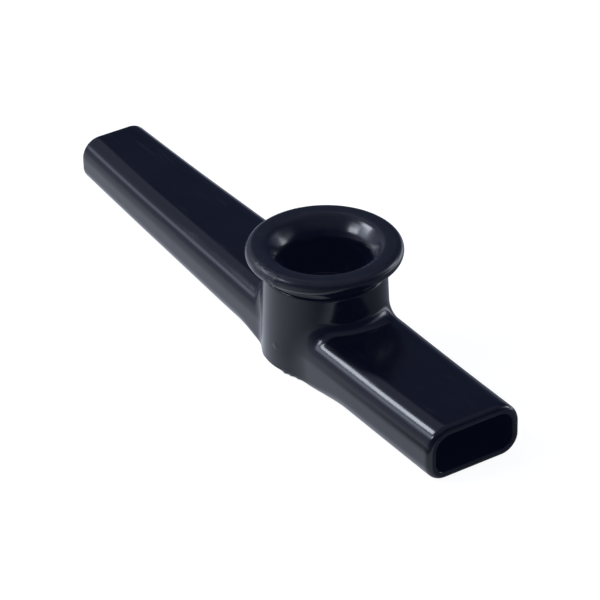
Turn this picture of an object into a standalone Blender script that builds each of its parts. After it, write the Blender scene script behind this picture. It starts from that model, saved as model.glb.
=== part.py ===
"""Moulded plastic kazoo: a one-piece hollow body with a round turret, a snap-in bell cap,
and a drop-in resonator (a carrier ring with a thin film stretched across it).

Frame: metres, +Z up. The origin is on the turret's axis at the flat underside.
+X runs along the body to the wide mouth end, -X to the narrow exhaust end.
"""

import math

import bmesh
import bpy
import numpy as np
from mathutils import Vector

MM = 0.001

# ---- driving dimensions, in millimetres --------------------------------------
MOUTH_LEN = 46.0  # turret axis to the mouth end
EXHAUST_LEN = 75.0  # turret axis to the exhaust end
BODY_H = 10.0  # height of both arms where they meet the turret
MOUTH_HALF_W_ROOT = 10.0
MOUTH_HALF_W_END = 9.6
EXHAUST_HALF_W_ROOT = 10.0
EXHAUST_HALF_W_END = 7.25
MOUTH_RISE = 0.5  # the top rises this much by the mouth end
EXHAUST_FLARE = 0.6  # and this much by the exhaust end
FLARE_START = 50.0  # distance from the turret axis where that begins
EXHAUST_RISE = 1.65  # the underside rises this much by the exhaust end
RISE_START = 15.0  # distance from the axis where those rises start
TOP_EDGE_R = 4.35  # radius of the arms' long edges on top
UNDER_EDGE_R = 3.5  # and underneath
WALL = 1.6
MOUTH_FILLET = 12.0  # radius between the mouth arm's side and the turret, seen from above
EXHAUST_FILLET = 5.5  # the same on the exhaust arm

TURRET_R_BASE = 11.8
TURRET_R_TOP = 11.25
TURRET_TOP_Z = 17.2
TURRET_FOOT_R = 0.9  # rounding round the turret's foot
TOP_FILLET = 2.6  # radius between an arm's top and the turret wall
BORE_R = 9.9  # socket that takes the cap and the resonator
SHELF_R = 8.0  # opening in the shelf that the resonator sits on
SHELF_Z = 9.9
GROOVE_Z = 14.4
GROOVE_DEPTH = 0.18

CAP_LIP_R = 14.2  # outer radius of the rolled lip
CAP_LIP_TUBE = 1.45  # radius of the lip's round section
CAP_TOP_Z = 22.25
THROAT_R = 7.6
SKIRT_R = 9.72
SKIRT_IN_R = 8.0
SKIRT_BOTTOM_Z = 11.4
CAP_SEAT_Z = 17.35
CAP_NECK_R = 11.15
END_R = 1.1  # rounding of the mouth end's outer edge
EXHAUST_END_R = 0.6  # rounding of the exhaust end's outer edge
NICK_ANGLE = -77.0  # degrees round the axis
NICK_W = 0.9

RING_OUT_R = 9.7
RING_IN_R = 8.1
RING_Z0 = 10.1
RING_Z1 = 11.05
FILM_R = 7.9
FILM_T = 0.08
FILM_Z = 10.35

TURN_STEPS = 60


# ---- helpers ------------------------------------------------------------------
def clear_scene():
    for obj in list(bpy.data.objects):
        bpy.data.objects.remove(obj, do_unlink=True)


def collection(name, parent=None):
    made = bpy.data.collections.new(name)
    (parent or bpy.context.scene.collection).children.link(made)
    return made


def material(name, color, roughness, metallic=0.0, alpha=1.0):
    made = bpy.data.materials.new(name)
    made.use_nodes = True
    shader = made.node_tree.nodes["Principled BSDF"]
    shader.inputs["Base Color"].default_value = (*color, 1.0)
    shader.inputs["Roughness"].default_value = roughness
    shader.inputs["Metallic"].default_value = metallic
    shader.inputs["Alpha"].default_value = alpha
    return made


def link(obj, where, mat=None, helper=False):
    where.objects.link(obj)
    if mat is not None:
        obj.data.materials.append(mat)
    if helper:
        obj.hide_render = True
        obj.display_type = "WIRE"
    return obj


def smooth(obj):
    obj.data.shade_smooth()
    obj.data.set_sharp_from_angle(angle=math.radians(35))


def turned(name, profile, where, mat=None, helper=False):
    """A solid of revolution about Z. The profile is (radius, height) in mm, from the top down its outer side."""
    mesh = bpy.data.meshes.new(name)
    points = [(r * MM, 0.0, z * MM) for r, z in profile]
    edges = [(i, i + 1) for i in range(len(points) - 1)]
    if profile[0][0] > 0:  # a ring: its profile is a closed loop
        edges.append((len(points) - 1, 0))
    mesh.from_pydata(points, edges, [])
    obj = link(bpy.data.objects.new(name, mesh), where, mat, helper)
    screw = obj.modifiers.new("turn", "SCREW")
    screw.axis = "Z"
    screw.angle = 2 * math.pi
    screw.steps = screw.render_steps = TURN_STEPS
    screw.use_merge_vertices = True
    screw.merge_threshold = 0.00001
    screw.use_smooth_shade = True
    return obj


def arc(cx, cz, radius, start, end, steps):
    """Points on an arc in the profile plane, angles in degrees from +radius towards +Z."""
    return [
        (
            cx + radius * math.cos(math.radians(start + (end - start) * i / steps)),
            cz + radius * math.sin(math.radians(start + (end - start) * i / steps)),
        )
        for i in range(steps + 1)
    ]


def box(name, low, high, where):
    """A box cutter between two corners, in mm."""
    bpy.ops.mesh.primitive_cube_add(size=1.0)
    obj = bpy.context.active_object
    obj.name = name
    for parent in list(obj.users_collection):
        parent.objects.unlink(obj)
    size = [(b - a) * MM for a, b in zip(low, high)]
    middle = [(a + b) / 2 * MM for a, b in zip(low, high)]
    for vertex in obj.data.vertices:
        vertex.co = Vector(c * s for c, s in zip(vertex.co, size))
    obj.location = middle
    return link(obj, where, helper=True)


def boolean(obj, other, operation):
    made = obj.modifiers.new(f"{operation.lower()}_{other.name}", "BOOLEAN")
    made.operation = operation
    made.object = other
    made.solver = "EXACT"
    return made


# ---- the body's outer form -----------------------------------------------------
# The arms and the turret's foot share one plan outline, which is a plate with round
# edges; the tower stands on it, and a fillet joins the two.


def arm_half_width(x):
    """Half width of an arm at x, before the flare into the turret."""
    return np.where(
        x >= 0,
        MOUTH_HALF_W_ROOT + (MOUTH_HALF_W_END - MOUTH_HALF_W_ROOT) * x / MOUTH_LEN,
        EXHAUST_HALF_W_ROOT - (EXHAUST_HALF_W_END - EXHAUST_HALF_W_ROOT) * x / EXHAUST_LEN,
    )


def tower_radius(z):
    return TURRET_R_TOP + (TURRET_R_BASE - TURRET_R_TOP) * (TURRET_TOP_Z - z) / TURRET_TOP_Z


def rise(x):
    """How far the underside has risen at x: none under the turret, then a straight ramp that eases in."""
    t = np.clip((-x - RISE_START) / (EXHAUST_LEN - RISE_START), 0, None)
    ease = 0.15
    return EXHAUST_RISE * np.where(t < ease, t * t / (2 * ease), t - ease / 2) / (1 - ease / 2)


def top_height(x):
    """Height of the arms' top: level, then curving up a little to the mouth end."""
    mouth = np.clip((x - RISE_START) / (MOUTH_LEN - RISE_START), 0, None) ** 2
    exhaust = np.clip((-x - FLARE_START) / (EXHAUST_LEN - FLARE_START), 0, None) ** 1.5
    return BODY_H + MOUTH_RISE * mouth + EXHAUST_FLARE * exhaust


def relative_height(x):
    """The arms' edge radii follow their height."""
    return (top_height(x) - rise(x)) / BODY_H


def smooth_step(low, high, value):
    t = np.clip((value - low) / (high - low), 0, 1)
    return t * t * (3 - 2 * t)


def plan_distance(x, y, z):
    """Signed distance to the plan outline: the arm's side, the turret's circle, or the fillet between them."""
    side = np.where(x >= 0, 1.0, -1.0)
    ax, ay = np.abs(x), np.abs(y)
    circle = tower_radius(z)
    radius = np.where(x >= 0, MOUTH_FILLET, EXHAUST_FILLET)
    fillet_x = np.full_like(ax, 10.0)
    for _ in range(12):
        fillet_y = arm_half_width(side * fillet_x) + radius
        fillet_x = np.sqrt((circle + radius) ** 2 - fillet_y**2)
    to_circle = np.hypot(ax, ay) - circle
    to_fillet = radius - np.hypot(ax - fillet_x, ay - fillet_y)
    to_arm = ay - arm_half_width(x)
    past_contact = ay * fillet_x > ax * fillet_y
    return np.where(past_contact, to_circle, np.where(ax < fillet_x, to_fillet, to_arm))


def plate_distance(p):
    """The arms and the turret's foot."""
    x, y, z = p.T
    low, high = rise(x), top_height(x)
    near_turret = 1 - np.where(x > 0, smooth_step(6.0, 20.0, x), smooth_step(3.0, 16.0, -x))
    under = UNDER_EDGE_R * relative_height(x)
    under += (TURRET_FOOT_R - under) * near_turret
    radius = np.where(z < (low + high) / 2, under, TOP_EDGE_R * relative_height(x))
    across = plan_distance(x, y, z) + radius
    up = np.abs(z - (low + high) / 2) - (high - low) / 2 + radius
    return (
        np.hypot(np.maximum(across, 0), np.maximum(up, 0))
        + np.minimum(np.maximum(across, up), 0)
        - radius
    )


def gradient(field, p):
    step = 0.01
    rows = [
        (field(p + np.eye(3)[axis] * step) - field(p - np.eye(3)[axis] * step)) / (2 * step)
        for axis in range(3)
    ]
    return np.stack(rows, axis=1)


def tower_distance(p):
    return np.hypot(p[:, 0], p[:, 1]) - tower_radius(p[:, 2])


def body_distance(p):
    """Plate and tower joined with a fillet that fades out where their walls are one wall."""
    plate, tower = plate_distance(p), tower_distance(p)
    a, b = gradient(plate_distance, p), gradient(tower_distance, p)
    along = (a * b).sum(axis=1) / np.maximum(
        np.linalg.norm(a, axis=1) * np.linalg.norm(b, axis=1), 1e-6
    )
    fillet = TOP_FILLET * np.clip(1 - along**2, 0, 1) + 1e-6
    inner = np.hypot(np.maximum(fillet - plate, 0), np.maximum(fillet - tower, 0))
    joined = np.maximum(fillet, np.minimum(plate, tower)) - inner
    return np.where(p[:, 2] > BODY_H / 2, joined, plate)


def cage():
    """A coarse closed-form lattice of quads: rings of ten points along the arms, twelve columns up the tower."""
    points, faces = [], []

    def add(x, y, z):
        points.append((x, y, z))
        return len(points) - 1

    def arm_ring(x):
        """Top row, far side, underside, near side: t-, t0, t+, hi+, lo+, b+, b0, b-, lo-, hi-."""
        w, low, high, size = (
            float(f(np.float64(x))) for f in (arm_half_width, rise, top_height, relative_height)
        )
        mid, flat, sole = (high + low) / 2, w - 0.92 * TOP_EDGE_R * size, w - 0.92 * UNDER_EDGE_R * size
        z = [high] * 3 + [mid + 1.6, mid - 1.6] + [low] * 3 + [mid - 1.6, mid + 1.6]
        y = [-flat, 0, flat, w, w, sole, 0, -sole, -w, -w]
        return [add(x, b, c) for b, c in zip(y, z)]

    def foot_ring(angle):
        """The same ring under the turret, which has no top row."""
        x, y = (
            TURRET_R_BASE * math.cos(math.radians(angle)),
            TURRET_R_BASE * math.sin(math.radians(angle)),
        )
        z = [7.0, 1.8, 0.0, 0.0, 0.0, 1.8, 7.0]
        ys = [y, y, y * 0.88, 0, -y * 0.88, -y, -y]
        return [None] * 3 + [add(x * 0.97 if i in (2, 4) else x, b, c) for i, (b, c) in enumerate(zip(ys, z))]

    mouth = [arm_ring(x) for x in (MOUTH_LEN - END_R, 36.0, 26.0, 18.5)]
    exhaust = [arm_ring(x) for x in (-18.5, -28.0, -42.0, -58.0, EXHAUST_END_R - EXHAUST_LEN)]
    foot = [foot_ring(angle) for angle in (58, 90, 122)]
    rings = mouth + foot + exhaust
    for one, two in zip(rings, rings[1:]):
        for i in range(10):
            j = (i + 1) % 10
            corners = [one[i], one[j], two[j], two[i]]
            if None not in corners:
                faces.append(corners)

    # the tower: its lowest row stands on the arms' tops in front and behind, on the foot rings beside
    angles = [58, 27, 0, -27, -58, -90, -122, -153, 180, 153, 122, 90]
    at_side = {58: foot[0][3], -58: foot[0][9], 90: foot[1][3], -90: foot[1][9], 122: foot[2][3], -122: foot[2][9]}
    base = []
    for angle in angles:
        if angle in at_side:
            base.append(at_side[angle])
        else:
            x, y = math.cos(math.radians(angle)) * 13.6, math.sin(math.radians(angle)) * 13.6
            base.append(add(x, y, BODY_H))
    front, back = mouth[-1], exhaust[0]
    for ring, columns in ((front, (-58, -27, 0, 27, 58)), (back, (-122, -153, 180, 153, 122))):
        row = [base[angles.index(angle)] for angle in columns]
        edge = [ring[9], ring[0], ring[1], ring[2], ring[3]]
        for i in range(4):
            faces.append([edge[i], edge[i + 1], row[i + 1], row[i]])
    rows = [base]
    for z in (12.6, TURRET_TOP_Z - 0.4):
        rows.append(
            [
                add(
                    math.cos(math.radians(angle)) * TURRET_R_TOP,
                    math.sin(math.radians(angle)) * TURRET_R_TOP,
                    z,
                )
                for angle in angles
            ]
        )
    for lower, upper in zip(rows, rows[1:]):
        for i in range(12):
            j = (i + 1) % 12
            faces.append([lower[i], lower[j], upper[j], upper[i]])
    return points, faces


def settle(p, rounds):
    """Moves points onto the form. Arm sections stay in their plane, and so do the tower's rows."""
    for _ in range(rounds):
        value = body_distance(p)
        slope = gradient(body_distance, p)
        slope[:, 0] *= 1 - smooth_step(22.0, 27.0, np.abs(p[:, 0]))
        slope[:, 2] *= 1 - smooth_step(13.0, 14.5, p[:, 2])
        size = np.maximum((slope**2).sum(axis=1), 0.05)
        step = slope * np.clip(value / size, -1.2, 1.2)[:, None]
        p = p - step
    return p


def fine_points(levels, relax):
    """The lattice subdivided and settled on the form: points in mm, and quads."""
    points, faces = cage()
    mesh = bpy.data.meshes.new("lattice")
    mesh.from_pydata(points, [], faces)
    obj = bpy.data.objects.new("lattice", mesh)
    bpy.context.scene.collection.objects.link(obj)
    divide = obj.modifiers.new("divide", "SUBSURF")
    divide.levels = divide.render_levels = levels
    divide.boundary_smooth = "ALL"
    bpy.context.view_layer.update()
    fine = obj.evaluated_get(bpy.context.evaluated_depsgraph_get()).to_mesh()
    p = np.array([tuple(v.co) for v in fine.vertices])
    quads = [tuple(f.vertices) for f in fine.polygons]
    edges = np.array([tuple(e.vertices) for e in fine.edges])
    bpy.data.objects.remove(obj)
    bpy.data.meshes.remove(mesh)

    # points on an open rim stay on it
    count = np.zeros(len(p), int)
    for corner in np.array(quads).T:
        np.add.at(count, corner, 1)
    degree = np.bincount(edges.ravel(), minlength=len(p))
    rim = count < degree
    p = settle(p, 12)
    for _ in range(relax):
        total = np.zeros_like(p)
        np.add.at(total, edges[:, 0], p[edges[:, 1]])
        np.add.at(total, edges[:, 1], p[edges[:, 0]])
        moved = total / degree[:, None]
        p = np.where(rim[:, None], p, 0.5 * p + 0.5 * moved)
        p = settle(p, 3)
    return settle(p, 10), quads


def body_shell(levels, relax, rounding):
    """The outer skin as a bmesh in metres, closed by a flat end on each arm and a flat top on the tower."""
    p, quads = fine_points(levels, relax)
    skin = bmesh.new()
    verts = [skin.verts.new(Vector(q) * MM) for q in p]
    for quad in quads:
        skin.faces.new([verts[i] for i in quad])
    skin.verts.index_update()

    def loop_where(test):
        return [e for e in skin.edges if e.is_boundary and test((e.verts[0].co + e.verts[1].co) / 2 / MM)]

    def grow(edges):
        grown = bmesh.ops.extrude_edge_only(skin, edges=edges)["geom"]
        return (
            [g for g in grown if isinstance(g, bmesh.types.BMVert)],
            [g for g in grown if isinstance(g, bmesh.types.BMEdge)],
        )

    # the tower's rounded rim
    top = loop_where(lambda c: c.z > BODY_H + 2)
    for r, z in arc(TURRET_R_TOP - 0.4, TURRET_TOP_Z - 0.4, 0.4, 0, 90, rounding)[1:]:
        moved, top = grow(top)
        for v in moved:
            scale = r / math.hypot(v.co.x, v.co.y) * MM
            v.co = Vector((v.co.x * scale, v.co.y * scale, z * MM))
    # the arms' rounded end edges
    ends = []
    for sign, test in ((1, lambda c: c.x > MOUTH_LEN - 2), (-1, lambda c: c.x < 2 - EXHAUST_LEN)):
        rim = loop_where(test)
        end_r = END_R if sign > 0 else EXHAUST_END_R
        last = (0.0, 1.0)
        for cosine, sine in arc(0, 0, 1, 0, 90, rounding)[1:]:
            moved, rim = grow(rim)
            place = np.array([tuple(v.co / MM) for v in moved])
            inwards = -gradient(plate_distance, place)
            for v, (_, y, z) in zip(moved, inwards):
                size = math.hypot(y, z)
                inset = end_r * (last[1] - cosine)
                v.co += Vector((sign * end_r * (sine - last[0]), y / size * inset, z / size * inset)) * MM
            last = (sine, cosine)
        ends.append(rim)
    for edges in [top] + ends:
        bmesh.ops.edgeloop_fill(skin, edges=edges)
    bmesh.ops.recalc_face_normals(skin, faces=skin.faces)
    return skin


def outline_half_width(x, inset):
    """Half width of the plan outline at x, moved inwards."""
    ax, side = abs(x), 1.0 if x >= 0 else -1.0
    circle, radius = TURRET_R_BASE - 0.3, MOUTH_FILLET if x >= 0 else EXHAUST_FILLET
    fillet_x = 10.0
    for _ in range(12):
        fillet_y = float(arm_half_width(np.float64(side * fillet_x))) + radius
        fillet_x = math.sqrt((circle + radius) ** 2 - fillet_y**2)
    if ax < fillet_x * circle / (circle + radius):
        return math.sqrt((circle - inset) ** 2 - x * x)
    if ax < fillet_x:
        return fillet_y - math.sqrt((radius + inset) ** 2 - (ax - fillet_x) ** 2)
    return float(arm_half_width(np.float64(x))) - inset


def loft(name, rings, where, helper=False):
    """A closed solid through rings of points that match one to one, in mm."""
    mesh = bmesh.new()
    rows = [[mesh.verts.new(Vector(point) * MM) for point in ring] for ring in rings]
    for one, two in zip(rows, rows[1:]):
        for i in range(len(one)):
            j = (i + 1) % len(one)
            mesh.faces.new([one[i], one[j], two[j], two[i]])
    mesh.faces.new(rows[0])
    mesh.faces.new(rows[-1])
    bmesh.ops.recalc_face_normals(mesh, faces=mesh.faces)
    data = bpy.data.meshes.new(name)
    mesh.to_mesh(data)
    mesh.free()
    return link(bpy.data.objects.new(name, data), where, None, helper)


def airway_ring(x, steps):
    """The airway's cross-section at x: a rectangle with round corners."""
    inside = min(max(x, -EXHAUST_LEN), MOUTH_LEN)
    low, high, size = (float(f(np.float64(inside))) for f in (rise, top_height, relative_height))
    top_r, under_r = TOP_EDGE_R * size - WALL, UNDER_EDGE_R * size - WALL
    half = outline_half_width(inside, WALL)
    ring = []
    for sign_y, centre_z, radius, start in (
        (1, high - WALL - top_r, top_r, 0),
        (-1, high - WALL - top_r, top_r, 90),
        (-1, low + WALL + under_r, under_r, 180),
        (1, low + WALL + under_r, under_r, 270),
    ):
        for y, z in arc(sign_y * (half - radius), centre_z, radius, start, start + 90, steps):
            ring.append((x, y, z))
    return ring


# ---- build ----------------------------------------------------------------------
clear_scene()
parts = collection("kazoo")
cutters = collection("kazoo_cutters")

gloss_black = material("gloss_black_plastic", (0.010, 0.011, 0.016), 0.12)
ring_plastic = material("carrier_ring_plastic", (0.03, 0.03, 0.033), 0.35)
film = material("resonator_film", (0.80, 0.80, 0.78), 0.2, alpha=0.4)

# body: the moulded skin, then the airway and the turret's socket cut out of it
skin = body_shell(2, 6, 2)
data = bpy.data.meshes.new("body")
skin.to_mesh(data)
skin.free()
body = link(bpy.data.objects.new("body", data), parts, gloss_black)

stations = [MOUTH_LEN + 6, MOUTH_LEN, 30.0, 17.0, 14.5, 12.0, 9.5, 7.0, 3.5, 0.0]
stations += [-3.5, -7.0, -9.5, -12.0, -14.5, -17.5, -21.0, -26.0, -50.0, -EXHAUST_LEN, -EXHAUST_LEN - 6]
airway = loft("airway", [airway_ring(x, 5) for x in stations], cutters, helper=True)
boolean(body, airway, "DIFFERENCE")

# the socket has a lead-in, a snap groove, and a shelf for the resonator
socket = turned(
    "socket",
    [(0, TURRET_TOP_Z + 2), (BORE_R + 0.35, TURRET_TOP_Z + 2)]
    + [(BORE_R + 0.35, TURRET_TOP_Z - 0.05), (BORE_R, TURRET_TOP_Z - 0.45)]
    + [
        (BORE_R, GROOVE_Z + 0.5),
        (BORE_R + GROOVE_DEPTH, GROOVE_Z + 0.2),
        (BORE_R + GROOVE_DEPTH, GROOVE_Z - 0.2),
        (BORE_R, GROOVE_Z - 0.5),
    ]
    + [(BORE_R, SHELF_Z), (SHELF_R, SHELF_Z), (SHELF_R, BODY_H - WALL - 2), (0, BODY_H - WALL - 2)],
    cutters,
    helper=True,
)
boolean(body, socket, "DIFFERENCE")
smooth(body)

# cap: a rolled lip, a bowl that narrows to the throat, and a skirt that snaps into the socket
lip_cx = CAP_LIP_R - CAP_LIP_TUBE
lip_cz = CAP_TOP_Z - CAP_LIP_TUBE
bowl = [(10.9, CAP_TOP_Z - 0.1), (10.45, CAP_TOP_Z - 0.27), (10.0, CAP_TOP_Z - 0.62), (9.4, 20.98), (8.85, 20.3), (8.3, 19.55), (7.9, 18.8), (7.67, 18.0)]
cap = turned(
    "turret_cap",
    arc(lip_cx, lip_cz, CAP_LIP_TUBE, 90, -90, 12)
    + [(12.2, lip_cz - CAP_LIP_TUBE - 0.08), (11.65, 18.75), (CAP_NECK_R + 0.17, 18.2), (CAP_NECK_R + 0.03, 17.7)]
    + [(CAP_NECK_R, CAP_SEAT_Z + 0.1), (CAP_NECK_R - 0.1, CAP_SEAT_Z), (SKIRT_R, CAP_SEAT_Z)]
    + [
        (SKIRT_R, GROOVE_Z + 0.42),
        (SKIRT_R + 0.12, GROOVE_Z + 0.15),
        (SKIRT_R + 0.12, GROOVE_Z - 0.15),
        (SKIRT_R, GROOVE_Z - 0.42),
    ]
    + [(SKIRT_R, SKIRT_BOTTOM_Z + 0.35), (SKIRT_R - 0.3, SKIRT_BOTTOM_Z)]
    + [(SKIRT_IN_R, SKIRT_BOTTOM_Z), (THROAT_R, SKIRT_BOTTOM_Z + 1.2), (THROAT_R, 17.2)]
    + bowl[::-1],
    parts,
    gloss_black,
)
nick_at = math.radians(NICK_ANGLE)
nick = box("rim_nick", (-0.7, -NICK_W / 2, -0.9), (0.7, NICK_W / 2, 0.9), cutters)
nick.location = (
    (CAP_LIP_R - 0.05) * math.cos(nick_at) * MM,
    (CAP_LIP_R - 0.05) * math.sin(nick_at) * MM,
    (lip_cz - 1.0) * MM,
)
nick.rotation_euler.z = nick_at
boolean(cap, nick, "DIFFERENCE")
smooth(cap)

# resonator: a carrier ring with the film's free span across it
ring = turned(
    "membrane_ring",
    [
        (RING_OUT_R - 0.2, RING_Z1),
        (RING_OUT_R, RING_Z1 - 0.2),
        (RING_OUT_R, RING_Z0 + 0.2),
        (RING_OUT_R - 0.2, RING_Z0),
        (RING_IN_R + 0.15, RING_Z0),
        (RING_IN_R, RING_Z0 + 0.15),
        (RING_IN_R, RING_Z1 - 0.2),
        (RING_IN_R + 0.2, RING_Z1),
    ],
    parts,
    ring_plastic,
)
smooth(ring)

bpy.ops.mesh.primitive_cylinder_add(
    vertices=TURN_STEPS, radius=FILM_R * MM, depth=FILM_T * MM, location=(0, 0, (FILM_Z + FILM_T / 2) * MM)
)
membrane = bpy.context.active_object
membrane.name = "membrane"
for parent in list(membrane.users_collection):
    parent.objects.unlink(membrane)
link(membrane, parts, film)
smooth(membrane)
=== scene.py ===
"""Looks for the moulded kazoo: fine meshes of its four pieces, their plastics and film, a pale floor and soft studio light."""

import math

import bmesh
import bpy
import numpy as np
from mathutils import Matrix, Vector


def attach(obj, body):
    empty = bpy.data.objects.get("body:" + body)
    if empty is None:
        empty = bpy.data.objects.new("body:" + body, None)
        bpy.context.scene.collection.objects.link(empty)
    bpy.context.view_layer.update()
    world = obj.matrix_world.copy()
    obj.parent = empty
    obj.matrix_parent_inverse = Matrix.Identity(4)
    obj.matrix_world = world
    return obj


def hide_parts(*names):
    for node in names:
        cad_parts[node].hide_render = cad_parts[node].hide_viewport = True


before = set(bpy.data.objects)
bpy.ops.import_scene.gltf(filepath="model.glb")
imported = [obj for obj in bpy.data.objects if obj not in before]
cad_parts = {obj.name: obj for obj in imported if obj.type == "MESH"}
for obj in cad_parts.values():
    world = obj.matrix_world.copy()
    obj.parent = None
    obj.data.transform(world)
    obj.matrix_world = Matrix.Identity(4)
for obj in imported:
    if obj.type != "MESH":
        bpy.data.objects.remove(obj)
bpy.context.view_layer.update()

MM = 0.001

# ---- driving dimensions, in millimetres --------------------------------------
MOUTH_LEN = 46.0  # turret axis to the mouth end
EXHAUST_LEN = 75.0  # turret axis to the exhaust end
BODY_H = 10.0  # height of both arms where they meet the turret
MOUTH_HALF_W_ROOT = 10.0
MOUTH_HALF_W_END = 9.6
EXHAUST_HALF_W_ROOT = 10.0
EXHAUST_HALF_W_END = 7.25
MOUTH_RISE = 0.5  # the top rises this much by the mouth end
EXHAUST_FLARE = 0.6  # and this much by the exhaust end
FLARE_START = 50.0  # distance from the turret axis where that begins
EXHAUST_RISE = 1.65  # the underside rises this much by the exhaust end
RISE_START = 15.0  # distance from the axis where those rises start
TOP_EDGE_R = 4.35  # radius of the arms' long edges on top
UNDER_EDGE_R = 3.5  # and underneath
WALL = 1.6
MOUTH_FILLET = 12.0  # radius between the mouth arm's side and the turret, seen from above
EXHAUST_FILLET = 5.5  # the same on the exhaust arm

TURRET_R_BASE = 11.8
TURRET_R_TOP = 11.25
TURRET_TOP_Z = 17.2
TURRET_FOOT_R = 0.9  # rounding round the turret's foot
TOP_FILLET = 2.6  # radius between an arm's top and the turret wall
BORE_R = 9.9  # socket that takes the cap and the resonator
SHELF_R = 8.0  # opening in the shelf that the resonator sits on
SHELF_Z = 9.9
GROOVE_Z = 14.4
GROOVE_DEPTH = 0.18

CAP_LIP_R = 14.2  # outer radius of the rolled lip
CAP_LIP_TUBE = 1.45  # radius of the lip's round section
CAP_TOP_Z = 22.25
THROAT_R = 7.6
SKIRT_R = 9.72
SKIRT_IN_R = 8.0
SKIRT_BOTTOM_Z = 11.4
CAP_SEAT_Z = 17.35
CAP_NECK_R = 11.15
END_R = 1.1  # rounding of the mouth end's outer edge
EXHAUST_END_R = 0.6  # rounding of the exhaust end's outer edge
NICK_ANGLE = -77.0  # degrees round the axis
NICK_W = 0.9

RING_OUT_R = 9.7
RING_IN_R = 8.1
RING_Z0 = 10.1
RING_Z1 = 11.05
FILM_R = 7.9
FILM_T = 0.08
FILM_Z = 10.35


def arc(cx, cz, radius, start, end, steps):
    """Points on an arc in the profile plane, angles in degrees from +radius towards +Z."""
    return [
        (
            cx + radius * math.cos(math.radians(start + (end - start) * i / steps)),
            cz + radius * math.sin(math.radians(start + (end - start) * i / steps)),
        )
        for i in range(steps + 1)
    ]


# ---- the body's outer form -----------------------------------------------------
# The arms and the turret's foot share one plan outline, which is a plate with round
# edges; the tower stands on it, and a fillet joins the two.


def arm_half_width(x):
    """Half width of an arm at x, before the flare into the turret."""
    return np.where(
        x >= 0,
        MOUTH_HALF_W_ROOT + (MOUTH_HALF_W_END - MOUTH_HALF_W_ROOT) * x / MOUTH_LEN,
        EXHAUST_HALF_W_ROOT - (EXHAUST_HALF_W_END - EXHAUST_HALF_W_ROOT) * x / EXHAUST_LEN,
    )


def tower_radius(z):
    return TURRET_R_TOP + (TURRET_R_BASE - TURRET_R_TOP) * (TURRET_TOP_Z - z) / TURRET_TOP_Z


def rise(x):
    """How far the underside has risen at x: none under the turret, then a straight ramp that eases in."""
    t = np.clip((-x - RISE_START) / (EXHAUST_LEN - RISE_START), 0, None)
    ease = 0.15
    return EXHAUST_RISE * np.where(t < ease, t * t / (2 * ease), t - ease / 2) / (1 - ease / 2)


def top_height(x):
    """Height of the arms' top: level, then curving up a little to the mouth end."""
    mouth = np.clip((x - RISE_START) / (MOUTH_LEN - RISE_START), 0, None) ** 2
    exhaust = np.clip((-x - FLARE_START) / (EXHAUST_LEN - FLARE_START), 0, None) ** 1.5
    return BODY_H + MOUTH_RISE * mouth + EXHAUST_FLARE * exhaust


def relative_height(x):
    """The arms' edge radii follow their height."""
    return (top_height(x) - rise(x)) / BODY_H


def smooth_step(low, high, value):
    t = np.clip((value - low) / (high - low), 0, 1)
    return t * t * (3 - 2 * t)


def plan_distance(x, y, z):
    """Signed distance to the plan outline: the arm's side, the turret's circle, or the fillet between them."""
    side = np.where(x >= 0, 1.0, -1.0)
    ax, ay = np.abs(x), np.abs(y)
    circle = tower_radius(z)
    radius = np.where(x >= 0, MOUTH_FILLET, EXHAUST_FILLET)
    fillet_x = np.full_like(ax, 10.0)
    for _ in range(12):
        fillet_y = arm_half_width(side * fillet_x) + radius
        fillet_x = np.sqrt((circle + radius) ** 2 - fillet_y**2)
    to_circle = np.hypot(ax, ay) - circle
    to_fillet = radius - np.hypot(ax - fillet_x, ay - fillet_y)
    to_arm = ay - arm_half_width(x)
    past_contact = ay * fillet_x > ax * fillet_y
    return np.where(past_contact, to_circle, np.where(ax < fillet_x, to_fillet, to_arm))


def plate_distance(p):
    """The arms and the turret's foot."""
    x, y, z = p.T
    low, high = rise(x), top_height(x)
    near_turret = 1 - np.where(x > 0, smooth_step(6.0, 20.0, x), smooth_step(3.0, 16.0, -x))
    under = UNDER_EDGE_R * relative_height(x)
    under += (TURRET_FOOT_R - under) * near_turret
    radius = np.where(z < (low + high) / 2, under, TOP_EDGE_R * relative_height(x))
    across = plan_distance(x, y, z) + radius
    up = np.abs(z - (low + high) / 2) - (high - low) / 2 + radius
    return (
        np.hypot(np.maximum(across, 0), np.maximum(up, 0))
        + np.minimum(np.maximum(across, up), 0)
        - radius
    )


def gradient(field, p):
    step = 0.01
    rows = [
        (field(p + np.eye(3)[axis] * step) - field(p - np.eye(3)[axis] * step)) / (2 * step)
        for axis in range(3)
    ]
    return np.stack(rows, axis=1)


def tower_distance(p):
    return np.hypot(p[:, 0], p[:, 1]) - tower_radius(p[:, 2])


def body_distance(p):
    """Plate and tower joined with a fillet that fades out where their walls are one wall."""
    plate, tower = plate_distance(p), tower_distance(p)
    a, b = gradient(plate_distance, p), gradient(tower_distance, p)
    along = (a * b).sum(axis=1) / np.maximum(
        np.linalg.norm(a, axis=1) * np.linalg.norm(b, axis=1), 1e-6
    )
    fillet = TOP_FILLET * np.clip(1 - along**2, 0, 1) + 1e-6
    inner = np.hypot(np.maximum(fillet - plate, 0), np.maximum(fillet - tower, 0))
    joined = np.maximum(fillet, np.minimum(plate, tower)) - inner
    return np.where(p[:, 2] > BODY_H / 2, joined, plate)


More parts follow.
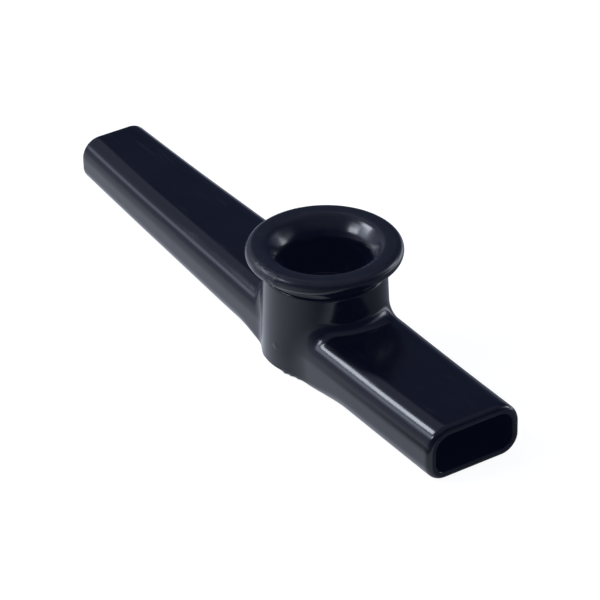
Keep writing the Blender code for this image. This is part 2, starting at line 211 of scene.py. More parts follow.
def cage():
    """A coarse closed-form lattice of quads: rings of ten points along the arms, twelve columns up the tower."""
    points, faces = [], []

    def add(x, y, z):
        points.append((x, y, z))
        return len(points) - 1

    def arm_ring(x):
        """Top row, far side, underside, near side: t-, t0, t+, hi+, lo+, b+, b0, b-, lo-, hi-."""
        w, low, high, size = (
            float(f(np.float64(x))) for f in (arm_half_width, rise, top_height, relative_height)
        )
        mid, flat, sole = (high + low) / 2, w - 0.92 * TOP_EDGE_R * size, w - 0.92 * UNDER_EDGE_R * size
        z = [high] * 3 + [mid + 1.6, mid - 1.6] + [low] * 3 + [mid - 1.6, mid + 1.6]
        y = [-flat, 0, flat, w, w, sole, 0, -sole, -w, -w]
        return [add(x, b, c) for b, c in zip(y, z)]

    def foot_ring(angle):
        """The same ring under the turret, which has no top row."""
        x, y = (
            TURRET_R_BASE * math.cos(math.radians(angle)),
            TURRET_R_BASE * math.sin(math.radians(angle)),
        )
        z = [7.0, 1.8, 0.0, 0.0, 0.0, 1.8, 7.0]
        ys = [y, y, y * 0.88, 0, -y * 0.88, -y, -y]
        return [None] * 3 + [add(x * 0.97 if i in (2, 4) else x, b, c) for i, (b, c) in enumerate(zip(ys, z))]

    mouth = [arm_ring(x) for x in (MOUTH_LEN - END_R, 36.0, 26.0, 18.5)]
    exhaust = [arm_ring(x) for x in (-18.5, -28.0, -42.0, -58.0, EXHAUST_END_R - EXHAUST_LEN)]
    foot = [foot_ring(angle) for angle in (58, 90, 122)]
    rings = mouth + foot + exhaust
    for one, two in zip(rings, rings[1:]):
        for i in range(10):
            j = (i + 1) % 10
            corners = [one[i], one[j], two[j], two[i]]
            if None not in corners:
                faces.append(corners)

    # the tower: its lowest row stands on the arms' tops in front and behind, on the foot rings beside
    angles = [58, 27, 0, -27, -58, -90, -122, -153, 180, 153, 122, 90]
    at_side = {58: foot[0][3], -58: foot[0][9], 90: foot[1][3], -90: foot[1][9], 122: foot[2][3], -122: foot[2][9]}
    base = []
    for angle in angles:
        if angle in at_side:
            base.append(at_side[angle])
        else:
            x, y = math.cos(math.radians(angle)) * 13.6, math.sin(math.radians(angle)) * 13.6
            base.append(add(x, y, BODY_H))
    front, back = mouth[-1], exhaust[0]
    for ring, columns in ((front, (-58, -27, 0, 27, 58)), (back, (-122, -153, 180, 153, 122))):
        row = [base[angles.index(angle)] for angle in columns]
        edge = [ring[9], ring[0], ring[1], ring[2], ring[3]]
        for i in range(4):
            faces.append([edge[i], edge[i + 1], row[i + 1], row[i]])
    rows = [base]
    for z in (12.6, TURRET_TOP_Z - 0.4):
        rows.append(
            [
                add(
                    math.cos(math.radians(angle)) * TURRET_R_TOP,
                    math.sin(math.radians(angle)) * TURRET_R_TOP,
                    z,
                )
                for angle in angles
            ]
        )
    for lower, upper in zip(rows, rows[1:]):
        for i in range(12):
            j = (i + 1) % 12
            faces.append([lower[i], lower[j], upper[j], upper[i]])
    return points, faces


def settle(p, rounds):
    """Moves points onto the form. Arm sections stay in their plane, and so do the tower's rows."""
    for _ in range(rounds):
        value = body_distance(p)
        slope = gradient(body_distance, p)
        slope[:, 0] *= 1 - smooth_step(22.0, 27.0, np.abs(p[:, 0]))
        slope[:, 2] *= 1 - smooth_step(13.0, 14.5, p[:, 2])
        size = np.maximum((slope**2).sum(axis=1), 0.05)
        step = slope * np.clip(value / size, -1.2, 1.2)[:, None]
        p = p - step
    return p


def fine_points(levels, relax):
    """The lattice subdivided and settled on the form: points in mm, and quads."""
    points, faces = cage()
    mesh = bpy.data.meshes.new("lattice")
    mesh.from_pydata(points, [], faces)
    obj = bpy.data.objects.new("lattice", mesh)
    bpy.context.scene.collection.objects.link(obj)
    divide = obj.modifiers.new("divide", "SUBSURF")
    divide.levels = divide.render_levels = levels
    divide.boundary_smooth = "ALL"
    bpy.context.view_layer.update()
    fine = obj.evaluated_get(bpy.context.evaluated_depsgraph_get()).to_mesh()
    p = np.array([tuple(v.co) for v in fine.vertices])
    quads = [tuple(f.vertices) for f in fine.polygons]
    edges = np.array([tuple(e.vertices) for e in fine.edges])
    bpy.data.objects.remove(obj)
    bpy.data.meshes.remove(mesh)

    # points on an open rim stay on it
    count = np.zeros(len(p), int)
    for corner in np.array(quads).T:
        np.add.at(count, corner, 1)
    degree = np.bincount(edges.ravel(), minlength=len(p))
    rim = count < degree
    p = settle(p, 12)
    for _ in range(relax):
        total = np.zeros_like(p)
        np.add.at(total, edges[:, 0], p[edges[:, 1]])
        np.add.at(total, edges[:, 1], p[edges[:, 0]])
        moved = total / degree[:, None]
        p = np.where(rim[:, None], p, 0.5 * p + 0.5 * moved)
        p = settle(p, 3)
    return settle(p, 10), quads


def body_shell(levels, relax, rounding):
    """The outer skin as a bmesh in metres, closed by a flat end on each arm and a flat top on the tower."""
    p, quads = fine_points(levels, relax)
    skin = bmesh.new()
    verts = [skin.verts.new(Vector(q) * MM) for q in p]
    for quad in quads:
        skin.faces.new([verts[i] for i in quad])
    skin.verts.index_update()

    def loop_where(test):
        return [e for e in skin.edges if e.is_boundary and test((e.verts[0].co + e.verts[1].co) / 2 / MM)]

    def grow(edges):
        grown = bmesh.ops.extrude_edge_only(skin, edges=edges)["geom"]
        return (
            [g for g in grown if isinstance(g, bmesh.types.BMVert)],
            [g for g in grown if isinstance(g, bmesh.types.BMEdge)],
        )

    # the tower's rounded rim
    top = loop_where(lambda c: c.z > BODY_H + 2)
    for r, z in arc(TURRET_R_TOP - 0.4, TURRET_TOP_Z - 0.4, 0.4, 0, 90, rounding)[1:]:
        moved, top = grow(top)
        for v in moved:
            scale = r / math.hypot(v.co.x, v.co.y) * MM
            v.co = Vector((v.co.x * scale, v.co.y * scale, z * MM))
    # the arms' rounded end edges
    ends = []
    for sign, test in ((1, lambda c: c.x > MOUTH_LEN - 2), (-1, lambda c: c.x < 2 - EXHAUST_LEN)):
        rim = loop_where(test)
        end_r = END_R if sign > 0 else EXHAUST_END_R
        last = (0.0, 1.0)
        for cosine, sine in arc(0, 0, 1, 0, 90, rounding)[1:]:
            moved, rim = grow(rim)
            place = np.array([tuple(v.co / MM) for v in moved])
            inwards = -gradient(plate_distance, place)
            for v, (_, y, z) in zip(moved, inwards):
                size = math.hypot(y, z)
                inset = end_r * (last[1] - cosine)
                v.co += Vector((sign * end_r * (sine - last[0]), y / size * inset, z / size * inset)) * MM
            last = (sine, cosine)
        ends.append(rim)
    for edges in [top] + ends:
        bmesh.ops.edgeloop_fill(skin, edges=edges)
    bmesh.ops.recalc_face_normals(skin, faces=skin.faces)
    return skin


def outline_half_width(x, inset):
    """Half width of the plan outline at x, moved inwards."""
    ax, side = abs(x), 1.0 if x >= 0 else -1.0
    circle, radius = TURRET_R_BASE - 0.3, MOUTH_FILLET if x >= 0 else EXHAUST_FILLET
    fillet_x = 10.0
    for _ in range(12):
        fillet_y = float(arm_half_width(np.float64(side * fillet_x))) + radius
        fillet_x = math.sqrt((circle + radius) ** 2 - fillet_y**2)
    if ax < fillet_x * circle / (circle + radius):
        return math.sqrt((circle - inset) ** 2 - x * x)
    if ax < fillet_x:
        return fillet_y - math.sqrt((radius + inset) ** 2 - (ax - fillet_x) ** 2)
    return float(arm_half_width(np.float64(x))) - inset


def loft(name, rings):
    """A closed solid through rings of points that match one to one, in mm."""
    mesh = bmesh.new()
    rows = [[mesh.verts.new(Vector(point) * MM) for point in ring] for ring in rings]
    for one, two in zip(rows, rows[1:]):
        for i in range(len(one)):
            j = (i + 1) % len(one)
            mesh.faces.new([one[i], one[j], two[j], two[i]])
    mesh.faces.new(rows[0])
    mesh.faces.new(rows[-1])
    bmesh.ops.recalc_face_normals(mesh, faces=mesh.faces)
    data = bpy.data.meshes.new(name)
    mesh.to_mesh(data)
    mesh.free()
    return mesh_object(name, data)


def airway_ring(x, steps):
    """The airway's cross-section at x: a rectangle with round corners."""
    inside = min(max(x, -EXHAUST_LEN), MOUTH_LEN)
    low, high, size = (float(f(np.float64(inside))) for f in (rise, top_height, relative_height))
    top_r, under_r = TOP_EDGE_R * size - WALL, UNDER_EDGE_R * size - WALL
    half = outline_half_width(inside, WALL)
    ring = []
    for sign_y, centre_z, radius, start in (
        (1, high - WALL - top_r, top_r, 0),
        (-1, high - WALL - top_r, top_r, 90),
        (-1, low + WALL + under_r, under_r, 180),
        (1, low + WALL + under_r, under_r, 270),
    ):
        for y, z in arc(sign_y * (half - radius), centre_z, radius, start, start + 90, steps):
            ring.append((x, y, z))
    return ring


# ---- fine meshes ------------------------------------------------------------------
# painted glow: the faint blue emission colour that the plastics, ring and film are given, standing in for light in the
# hollows
PAINTED_BLUE_GLOW = (0.0013, 0.0018, 0.0056, 1)
FLOOR_GLOW = 0.93
LEVELS = 4
AROUND = 256
scene_collection = bpy.context.scene.collection


def boolean(obj, other, operation):
    made = obj.modifiers.new(f"{operation.lower()}_{other.name}", "BOOLEAN")
    made.operation = operation
    made.object = other
    made.solver = "EXACT"
    return made


def mesh_object(name, mesh):
    obj = bpy.data.objects.new(name, mesh)
    scene_collection.objects.link(obj)
    return obj


def lathe(name, profile, around, closed):
    """A turned mesh straight from its profile of (radius, height) in mm; closed when it is a ring."""
    made = bmesh.new()
    columns = []
    for k in range(around):
        a = 2 * math.pi * k / around
        c, s = math.cos(a), math.sin(a)
        columns.append([made.verts.new((r * c * MM, r * s * MM, z * MM)) if r > 1e-6 or k == 0 else None for r, z in profile])
    for column in columns[1:]:
        for i, v in enumerate(column):
            if v is None:
                column[i] = columns[0][i]
    count = len(profile)
    spans = count if closed else count - 1
    for k in range(around):
        one, two = columns[k], columns[(k + 1) % around]
        for i in range(spans):
            j = (i + 1) % count
            corners = []
            for v in (one[i], one[j], two[j], two[i]):
                if v not in corners:
                    corners.append(v)
            if len(corners) > 2:
                made.faces.new(corners)
    bmesh.ops.recalc_face_normals(made, faces=made.faces)
    mesh = bpy.data.meshes.new(name)
    made.to_mesh(mesh)
    made.free()
    return mesh_object(name, mesh)


def flatten(obj):
    """Bakes the modifiers into the mesh."""
    bpy.context.view_layer.update()
    graph = bpy.context.evaluated_depsgraph_get()
    mesh = bpy.data.meshes.new_from_object(obj.evaluated_get(graph))
    obj.modifiers.clear()
    obj.data = mesh
    return obj


def smoothed(obj, angle):
    obj.data.shade_smooth()
    obj.data.set_sharp_from_angle(angle=math.radians(angle))
    return obj


def curve_through(points, steps):
    """Catmull-Rom through profile points."""
    p = [np.array(q, float) for q in points]
    p = [2 * p[0] - p[1]] + p + [2 * p[-1] - p[-2]]
    out = []
    for i in range(1, len(p) - 2):
        for k in range(steps):
            t = k / steps
            out.append(
                0.5
                * (
                    2 * p[i]
                    + (p[i + 1] - p[i - 1]) * t
                    + (2 * p[i - 1] - 5 * p[i] + 4 * p[i + 1] - p[i + 2]) * t * t
                    + (3 * p[i] - p[i - 1] - 3 * p[i + 1] + p[i + 2]) * t**3
                )
            )
    out.append(p[-2])
    return [tuple(float(v) for v in q) for q in out]


def fine_body():
    skin = body_shell(LEVELS, 4, 6)
    mesh = bpy.data.meshes.new("fine_body")
    skin.to_mesh(mesh)
    skin.free()
    obj = mesh_object("fine_body", mesh)
    stations = [MOUTH_LEN + 3]
    stations += [MOUTH_LEN + 0.001 - 0.3 * (1 - math.cos(math.radians(a))) for a in (0, 30, 60, 90)]
    stations += list(np.linspace(MOUTH_LEN - 3, 18, 10))
    stations += list(np.linspace(17, -19, 37))
    stations += list(np.linspace(-21, 3 - EXHAUST_LEN, 14))
    stations += [0.3 * (1 - math.cos(math.radians(a))) - EXHAUST_LEN - 0.001 for a in (90, 60, 30, 0)]
    stations += [-EXHAUST_LEN - 3]
    airway = loft("fine_airway", [airway_ring(x, 10) for x in stations])
    made = bmesh.new()
    made.from_mesh(airway.data)
    for v in made.verts:
        x = v.co.x / MM
        end = max(x - MOUTH_LEN, -EXHAUST_LEN - x)
        depth = min(max(end + 0.3, 0), 0.3)
        flare = 0.3 - math.sqrt(max(0.09 - depth * depth, 0))
        if flare > 0:
            y, z = v.co.y / MM, v.co.z / MM - (BODY_H + (MOUTH_RISE if x > 0 else EXHAUST_RISE + EXHAUST_FLARE)) / 2
            size = math.hypot(y, z)
            v.co.y += flare * y / size * MM
            v.co.z += flare * z / size * MM
    made.to_mesh(airway.data)
    made.free()
    boolean(obj, airway, "DIFFERENCE")
    bore = (
        [(0, TURRET_TOP_Z + 2), (BORE_R + 0.35, TURRET_TOP_Z + 2), (BORE_R + 0.35, TURRET_TOP_Z - 0.05)]
        + [(BORE_R, TURRET_TOP_Z - 0.45), (BORE_R, GROOVE_Z + 0.5), (BORE_R + GROOVE_DEPTH, GROOVE_Z + 0.2)]
        + [(BORE_R + GROOVE_DEPTH, GROOVE_Z - 0.2), (BORE_R, GROOVE_Z - 0.5), (BORE_R, SHELF_Z)]
        + [(SHELF_R, SHELF_Z), (SHELF_R, BODY_H - WALL - 2), (0, BODY_H - WALL - 2)]
    )
    socket = lathe("fine_socket", bore, AROUND // 2, False)
    boolean(obj, socket, "DIFFERENCE")
    flatten(obj)
    for helper in (airway, socket):
        bpy.data.objects.remove(helper)
    return smoothed(obj, 30)


def cap_profile(steps):
    lip_cx, lip_cz = CAP_LIP_R - CAP_LIP_TUBE, CAP_TOP_Z - CAP_LIP_TUBE
    lip = arc(lip_cx, lip_cz, CAP_LIP_TUBE, 90, -90, 4 * steps)
    cove = curve_through(
        [lip[-1], (12.2, lip_cz - CAP_LIP_TUBE - 0.08), (11.65, 18.75), (CAP_NECK_R + 0.17, 18.2)]
        + [(CAP_NECK_R + 0.03, 17.7), (CAP_NECK_R, CAP_SEAT_Z + 0.15)],
        steps,
    )[1:]
    seat = [(CAP_NECK_R - 0.03, CAP_SEAT_Z + 0.05), (CAP_NECK_R - 0.11, CAP_SEAT_Z), (SKIRT_R, CAP_SEAT_Z)]
    bead = [(SKIRT_R, GROOVE_Z + 0.42), (SKIRT_R + 0.12, GROOVE_Z + 0.15), (SKIRT_R + 0.12, GROOVE_Z - 0.15), (SKIRT_R, GROOVE_Z - 0.42)]
    skirt = [(SKIRT_R, SKIRT_BOTTOM_Z + 0.35), (SKIRT_R - 0.3, SKIRT_BOTTOM_Z), (SKIRT_IN_R, SKIRT_BOTTOM_Z)]
    throat = [(THROAT_R, SKIRT_BOTTOM_Z + 1.2)]
    bowl = [(THROAT_R, 17.4), (7.67, 18.2), (7.9, 19.0), (8.3, 19.75), (8.85, 20.45), (9.4, 21.05)]
    bowl += [(10.0, CAP_TOP_Z - 0.6), (10.45, CAP_TOP_Z - 0.27), (10.9, CAP_TOP_Z - 0.1), (11.7, CAP_TOP_Z - 0.02), lip[0]]
    bowl = curve_through(bowl, steps)[:-1]
    return lip + cove + seat + bead + skirt + throat + bowl


def fine_cap():
    obj = lathe("fine_cap", cap_profile(5), AROUND, True)
    # the gate's vestige: a nick broken out of the lip's lower edge
    nick = math.radians(NICK_ANGLE)
    lip_cz = CAP_TOP_Z - CAP_LIP_TUBE
    for v in obj.data.vertices:
        x, y, z = v.co / MM
        r = math.hypot(x, y)
        if r < 12.5 or z < lip_cz - 2:
            continue
        along = (math.atan2(y, x) - nick) * r
        down = z - (lip_cz - 0.75)
        dent = 0.38 * math.exp(-((along / 0.42) ** 2) - (down / 0.6) ** 2)
        v.co.x -= x / r * dent * MM
        v.co.y -= y / r * dent * MM
        v.co.z += 0.3 * dent * MM
    return smoothed(obj, 35)


def fine_ring():
    profile = (
        arc(RING_OUT_R - 0.2, RING_Z1 - 0.2, 0.2, 90, 0, 4)
        + arc(RING_OUT_R - 0.2, RING_Z0 + 0.2, 0.2, 0, -90, 4)
        + arc(RING_IN_R + 0.15, RING_Z0 + 0.15, 0.15, 270, 180, 4)
        + arc(RING_IN_R + 0.2, RING_Z1 - 0.2, 0.2, 180, 90, 4)
    )
    return smoothed(lathe("fine_ring", profile, AROUND // 2, True), 35)


def fine_film():
    """Both faces of the film, drawn into faint radial creases by its bonded rim."""
    rings, around = 24, AROUND // 2
    radii = [FILM_R * i / rings for i in range(rings + 1)]
    top = [(r, FILM_Z + FILM_T) for r in radii]
    under = [(r, FILM_Z) for r in radii[::-1]]
    obj = lathe("fine_film", top[::1] + under, around, False)
    for v in obj.data.vertices:
        x, y = v.co.x / MM, v.co.y / MM
        r = math.hypot(x, y)
        a = math.atan2(y, x)
        v.co.z += 0.025 * math.sin(11 * a + 2.0 * math.sin(3 * a)) * (r / FILM_R) ** 3 * (1 - (r / FILM_R) ** 8) * MM
    return smoothed(obj, 50)


# ---- materials -------------------------------------------------------------------
class Nodes:
    """A material's node tree, written in few words."""

    def __init__(self, owner, shader="Principled BSDF", coords="Object"):
        owner.use_nodes = True
        self.owner = owner
        self.tree = owner.node_tree
        self.shader = self.tree.nodes[shader]
        self.coords = self.tree.nodes.new("ShaderNodeTexCoord").outputs[coords]

    def new(self, kind, inputs=(), **settings):
        node = self.tree.nodes.new(kind)
        for key, value in settings.items():
            setattr(node, key, value)
        for key, value in dict(inputs).items():
            if isinstance(value, bpy.types.NodeSocket):
                self.tree.links.new(value, node.inputs[key])
            else:
                node.inputs[key].default_value = value
        return node

    def noise(self, scale, detail=2.0, rough=0.5, vector=None, distortion=0.0):
        return self.new(
            "ShaderNodeTexNoise",
            {"Vector": vector or self.coords, "Scale": scale, "Detail": detail, "Roughness": rough, "Distortion": distortion},
        ).outputs["Fac"]

    def stretched(self, x, y, z):
        return self.new("ShaderNodeMapping", {"Vector": self.coords, "Scale": (x, y, z)}).outputs["Vector"]

    def math(self, operation, a, b=0.0, c=0.0, clamp=False):
        return self.new("ShaderNodeMath", {0: a, 1: b, 2: c}, operation=operation, use_clamp=clamp).outputs[0]

    def ramp(self, value, low, high, to_low=0.0, to_high=1.0):
        return self.new(
            "ShaderNodeMapRange",
            {"Value": value, "From Min": low, "From Max": high, "To Min": to_low, "To Max": to_high},
            interpolation_type="SMOOTHSTEP",
        ).outputs["Result"]

    def mix(self, factor, one, two):
        node = self.new("ShaderNodeMix", data_type="RGBA")
        for key, value in (("Factor", factor), ("A", one), ("B", two)):
            socket = [s for s in node.inputs if s.name == key and s.type == ("VALUE" if key == "Factor" else "RGBA")][0]
            if isinstance(value, bpy.types.NodeSocket):
                self.tree.links.new(value, socket)
            else:
                socket.default_value = value
        return [s for s in node.outputs if s.type == "RGBA"][0]

    def dot(self, axis, vector=None):
        return self.new("ShaderNodeVectorMath", {0: vector or self.coords, 1: axis}, operation="DOT_PRODUCT").outputs["Value"]

    def bump(self, height, distance, strength=1.0, normal=None):
        inputs = {"Height": height, "Distance": distance, "Strength": strength}
        if normal is not None:
            inputs["Normal"] = normal
        return self.new("ShaderNodeBump", inputs).outputs["Normal"]

    def set(self, key, value):
        if isinstance(value, bpy.types.NodeSocket):
            self.tree.links.new(value, self.shader.inputs[key])
        else:
            self.shader.inputs[key].default_value = value


def moulded_black(name, marks, rim_sheen_painted=False):
    """Polished black moulding: a faint ripple where it cooled, fine handling scuffs, and rough gate marks."""
    m = Nodes(bpy.data.materials.new(name))
    ripple = m.noise(210.0, 1.0, 0.4)
    flow = m.noise(55.0, 2.0, 0.5, m.stretched(0.35, 1.0, 1.0))
    grain = m.noise(2600.0, 2.0, 0.6)
    scuffs = m.noise(900.0, 3.0, 0.65, m.stretched(0.12, 1.0, 1.0), 0.4)
    scuffed = m.ramp(scuffs, 0.58, 0.74)
    blotch = m.noise(90.0, 3.0, 0.55)
    colour = m.mix(m.ramp(blotch, 0.35, 0.7), (0.0007, 0.0010, 0.0022, 1), (0.0016, 0.0020, 0.0036, 1))
    colour = m.mix(m.math("MULTIPLY", scuffed, 0.35), colour, (0.010, 0.011, 0.017, 1))
    rough = m.ramp(blotch, 0.3, 0.75, 0.155, 0.205)
    rough = m.math("MULTIPLY_ADD", scuffed, 0.09, rough)
    if rim_sheen_painted:
        # painted sheen: the cap's flat rim round the bowl is coloured lighter grey, dappled by noise, standing in for
        # the light it reflects; the band is also made a little rougher
        radius = m.new("ShaderNodeVectorMath", {0: m.new("ShaderNodeVectorMath", {0: m.coords, 1: (1, 1, 0)}, operation="MULTIPLY").outputs["Vector"]}, operation="LENGTH").outputs["Value"]
        rim_sheen_band = m.math("MULTIPLY", m.ramp(radius, 0.0098, 0.0108), m.ramp(m.dot((0, 0, 1)), 0.0205, 0.0217))
        colour = m.mix(m.math("MULTIPLY", rim_sheen_band, m.ramp(m.noise(420.0, 3.0, 0.6), 0.2, 0.7, 0.6, 1.0)), colour, (0.0085, 0.0088, 0.0112, 1))
        rough = m.math("MULTIPLY_ADD", rim_sheen_band, 0.08, rough)
    height = m.math("MULTIPLY_ADD", flow, 1.6, ripple)
    normal = m.bump(height, 0.000022)
    normal = m.bump(grain, 0.0000012, 1.0, normal)
    for centre, radius, coarse in marks:
        away = m.new("ShaderNodeVectorMath", {0: m.coords, 1: centre}, operation="DISTANCE").outputs["Value"]
        near = m.ramp(away, radius * 0.35, radius, 1.0, 0.0)
        rough = m.math("MULTIPLY_ADD", near, 0.12, rough)
        crust = m.math("MULTIPLY", m.noise(1500.0, 3.0, 0.7), near)
        normal = m.bump(crust, coarse, 1.0, normal)
    m.set("Base Color", colour)
    m.set("Roughness", rough)
    m.set("Normal", normal)
    m.set("IOR", 1.4)
    # painted glow: a faint blue emission over the whole part stands in for light in the hollows, which keeps them from
    # going dead black
    m.set("Emission Color", PAINTED_BLUE_GLOW)
    m.set("Emission Strength", 1.0)
    return m.owner


def satin_black(name):
    m = Nodes(bpy.data.materials.new(name))
    sparks = m.noise(1400.0, 3.0, 0.6)
    rings = m.noise(300.0, 2.0, 0.5)
    m.set("Base Color", m.mix(rings, (0.018, 0.018, 0.020, 1), (0.030, 0.030, 0.033, 1)))
    m.set("Roughness", m.ramp(sparks, 0.3, 0.7, 0.33, 0.46))
    m.set("Normal", m.bump(sparks, 0.000012))
    m.set("IOR", 1.5)
    # painted glow, as on the moulded plastic: faint blue emission standing in for light in the hollows
    m.set("Emission Color", PAINTED_BLUE_GLOW)
    m.set("Emission Strength", 1.0)
    return m.owner


def stretched_film(name):
    m = Nodes(bpy.data.materials.new(name))
    haze = m.noise(260.0, 4.0, 0.6)
    crease = m.noise(420.0, 3.0, 0.6, None, 1.2)
    m.set("Base Color", m.mix(haze, (0.05, 0.05, 0.052, 1), (0.085, 0.085, 0.088, 1)))
    m.set("Roughness", m.ramp(haze, 0.3, 0.7, 0.22, 0.38))
    m.set("Normal", m.bump(crease, 0.00004))
    m.set("Alpha", 0.45)
    m.set("IOR", 1.49)
    # painted glow, as on the moulded plastic: faint blue emission standing in for light in the hollows
    m.set("Emission Color", PAINTED_BLUE_GLOW)
    m.set("Emission Strength", 1.0)
    return m.owner


def around(angle, radius, height):
    a = math.radians(angle)
    return (radius * math.cos(a) * MM, radius * math.sin(a) * MM, height * MM)


body = fine_body()
cap = fine_cap()
ring = fine_ring()
film = fine_film()

body.data.materials.clear()
body.data.materials.append(moulded_black("body_black", [(around(-84, 11.6, 5.4), 0.0009, 0.00012)]))
cap.data.materials.clear()
cap.data.materials.append(
    moulded_black("cap_black", [(around(-77, 13.6, 20.5), 0.0026, 0.00028), (around(-92, 13.4, 21.6), 0.0026, 0.00014)], rim_sheen_painted=True)
)
ring.data.materials.append(satin_black("ring_satin"))
film.data.materials.append(stretched_film("film_translucent"))

for piece, body_name, node, slot in (
    (body, "tube", "body", "gloss_black_plastic"),
    (cap, "cap", "turret_cap", "gloss_black_plastic"),
    (ring, "resonator", "membrane_ring", "carrier_ring_plastic"),
    (film, "film", "membrane", "resonator_film"),
):
    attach(piece, body_name)
    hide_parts(node)

# ---- floor, light and camera ------------------------------------------------------
def heading(azimuth, elevation):
    a, e = math.radians(azimuth), math.radians(elevation)
    return Vector((math.cos(a) * math.cos(e), math.sin(a) * math.cos(e), math.sin(e)))


def facing(azimuth, elevation, roll):
    """Axes of a panel seen in that direction: its width, its height, and the way to it."""
    way = heading(azimuth, elevation)
    turn = way.to_track_quat("Z", "Y").to_matrix() @ Matrix.Rotation(math.radians(roll), 3, "Z")
    return turn.col[0], turn.col[1], way


floor_mesh = bpy.data.meshes.new("floor")
floor_mesh.from_pydata([(-3, -3, -0.0002), (3, -3, -0.0002), (3, 3, -0.0002), (-3, 3, -0.0002)], [], [(0, 1, 2, 3)])
floor = mesh_object("floor", floor_mesh)
paper = Nodes(bpy.data.materials.new("pale_floor"))
paper.set("Base Color", paper.mix(paper.noise(3.0), (0.215, 0.215, 0.215, 1), (0.225, 0.225, 0.225, 1)))
paper.set("Roughness", 0.9)
paper.set("Specular IOR Level", 0.0)
paper.set("Emission Color", (1, 1, 1, 1))
# painted light in what the plastic mirrors of the sheet: a pool brightest towards the key light and the fill's own
# streak, with painted shade, dimmer, elsewhere on the sheet
reach = paper.new("ShaderNodeVectorMath", {0: paper.coords}, operation="LENGTH").outputs["Value"]
towards_key = paper.math("DIVIDE", paper.dot(heading(-128, 0)), paper.math("ADD", reach, 0.008))
lit = paper.ramp(towards_key, -0.1, 0.85, 0.10, 0.84)
beside = paper.dot((0, 1, 0))
strip = paper.math("MULTIPLY", paper.ramp(beside, -0.030, -0.014, 0.0, 0.84), paper.ramp(beside, -0.011, -0.006, 1.0, 0.0))
lit = paper.math("MAXIMUM", lit, strip)
lit = paper.math("MULTIPLY", lit, paper.ramp(reach, 0.15, 1.0, 1.0, 0.6))
towards_fill = paper.math("DIVIDE", paper.dot(heading(84, 0)), paper.math("ADD", reach, 0.02))
lit = paper.math("ADD", lit, paper.ramp(towards_fill, 0.72, 0.93, 0.0, 2.8))
# glossy rays alone see that painted light and shade, tinted blue; every other ray sees the sheet's plain, even glow
glossy = paper.new("ShaderNodeLightPath").outputs["Is Glossy Ray"]
plain = paper.ramp(reach, 0.3, 2.0, FLOOR_GLOW, 0.5)
paper.set("Emission Color", paper.mix(glossy, (1, 1, 1, 1), (0.93, 0.99, 1.13, 1)))
paper.set("Emission Strength", paper.new("ShaderNodeMix", {0: glossy, 2: plain, 3: lit}, data_type="FLOAT").outputs[0])
floor.data.materials.append(paper.owner)

world = bpy.data.worlds.new("studio")
bpy.context.scene.world = world
sky = Nodes(world, "Background", "Generated")


def glow(azimuth, elevation, roll, wide, high, radiance):
    """A soft patch of wall or ceiling: brightness falls off smoothly over the given half widths in degrees."""
    across, upward, way = facing(azimuth, elevation, roll)
    u = sky.math("MULTIPLY", sky.dot(across), 1 / math.sin(math.radians(wide)))
    v = sky.math("MULTIPLY", sky.dot(upward), 1 / math.sin(math.radians(high)))
    q = sky.math("MULTIPLY_ADD", u, u, sky.math("MULTIPLY", v, v))
    value = sky.math("MULTIPLY", sky.math("EXPONENT", sky.math("MULTIPLY", q, -1.0)), radiance)
    return sky.math("MULTIPLY", value, sky.math("GREATER_THAN", sky.dot(way), 0.0))


def panel(azimuth, elevation, roll, wide, high, soft, radiance):
    """A dim card with soft edges, half widths in degrees."""
    across, upward, way = facing(azimuth, elevation, roll)
    value = sky.math("GREATER_THAN", sky.dot(way), 0.0)
    for axis, half in ((across, wide), (upward, high)):
        off = sky.math("ABSOLUTE", sky.dot(axis))
        value = sky.math("MULTIPLY", value, sky.ramp(off, math.sin(math.radians(half - soft)), math.sin(math.radians(half + soft)), 1.0, 0.0))
    return sky.math("MULTIPLY", value, radiance)


total = sky.ramp(sky.dot((0, 0, 1)), 0.55, 0.9, 0.0, 0.27)
for part in (
    glow(-128, 0, 0, 38, 26, 0.75),
    glow(-134, 28.5, 27, 15, 5, 5.0),
    glow(80, 6, 0, 15, 18, 1.6),
    glow(60, 27, -40, 12, 6, 1.2),
    panel(-174.5, 35, 0, 20.7, 26, 2.5, 0.33),
):
    total = sky.math("ADD", total, part)
white = sky.new("ShaderNodeCombineXYZ", {0: total, 1: total, 2: total}).outputs[0]
tinted = sky.new("ShaderNodeVectorMath", {0: white, 1: (0.90, 0.99, 1.24)}, operation="MULTIPLY").outputs["Vector"]
shade = sky.new("ShaderNodeVectorMath", {0: tinted, 1: (0.055, 0.070, 0.135)}, operation="ADD").outputs["Vector"]
sky.set("Color", shade)
sky.set("Strength", 1.0)


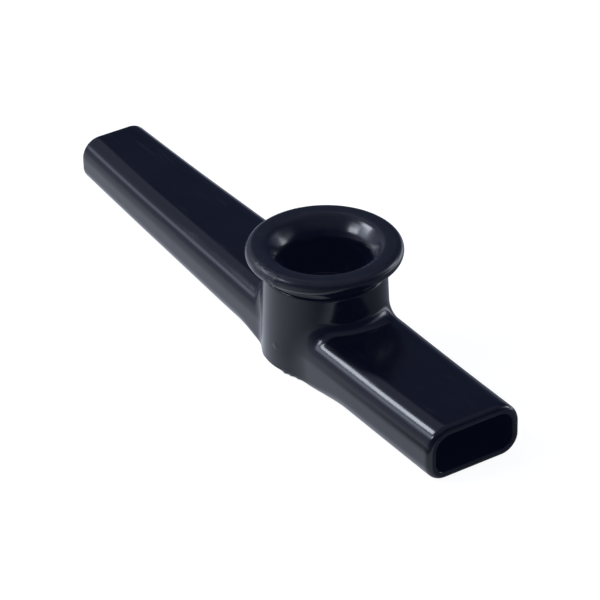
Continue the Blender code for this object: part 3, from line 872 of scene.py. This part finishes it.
def softbox(name, azimuth, elevation, distance, width, height, radiance, roll=0.0, colour=(1, 1, 1), centre=(0, 0, 0.01)):
    """A rectangular area light at a distance from a centre, facing it, turned about its own axis by roll."""
    across, upward, way = facing(azimuth, elevation, roll)
    data = bpy.data.lights.new(name, "AREA")
    data.shape = "RECTANGLE"
    data.size, data.size_y = width, height
    data.energy = radiance * math.pi * width * height
    data.color = colour
    obj = bpy.data.objects.new(name, data)
    scene_collection.objects.link(obj)
    turn = Matrix((across, upward, way)).transposed().to_4x4()
    obj.visible_camera = False
    obj.matrix_world = Matrix.Translation(Vector(centre) + way * distance) @ turn
    return obj


softbox("key", -110, 38.5, 1.0, 0.32, 0.15, 14.5, roll=20, colour=(0.93, 0.99, 1.14))
softbox("key_edge", -151, 37, 0.25, 0.074, 0.048, 15.0, roll=47, colour=(0.93, 0.99, 1.14), centre=(0.040, -0.008, 0.009))
softbox("fill", 76.5, 16.5, 1.0, 0.27, 0.24, 4.8, roll=0, colour=(0.97, 1.0, 1.04))

CAMERA_AZIMUTH = math.radians(57.507)
CAMERA_ELEVATION = math.radians(32.257)
CAMERA_ROLL = math.radians(1.311)
CAMERA_DISTANCE = 0.6017
CAMERA_TARGET = Vector((-0.000214, -0.005264, 0.012))
CAMERA_FOCAL = 3.37

ca, sa = math.cos(CAMERA_AZIMUTH), math.sin(CAMERA_AZIMUTH)
ce, se = math.cos(CAMERA_ELEVATION), math.sin(CAMERA_ELEVATION)
back = Vector((sa * ce, -ca * ce, se))
right = Vector((ca, sa, 0))
up = back.cross(right)
cr, sr = math.cos(CAMERA_ROLL), math.sin(CAMERA_ROLL)
rolled_right = right * cr - up * sr
rolled_up = right * sr + up * cr
camera_data = bpy.data.cameras.new("camera")
camera = bpy.data.objects.new("camera", camera_data)
scene_collection.objects.link(camera)
camera.matrix_world = Matrix.Translation(CAMERA_TARGET + back * CAMERA_DISTANCE) @ Matrix(
    (rolled_right, rolled_up, back)
).transposed().to_4x4()
camera_data.sensor_width = 36
camera_data.lens = CAMERA_FOCAL * 60
camera_data.clip_start = 0.01
bpy.context.scene.camera = camera

bpy.context.scene.view_settings.view_transform = "Standard"
bpy.context.scene.view_settings.look = "None"
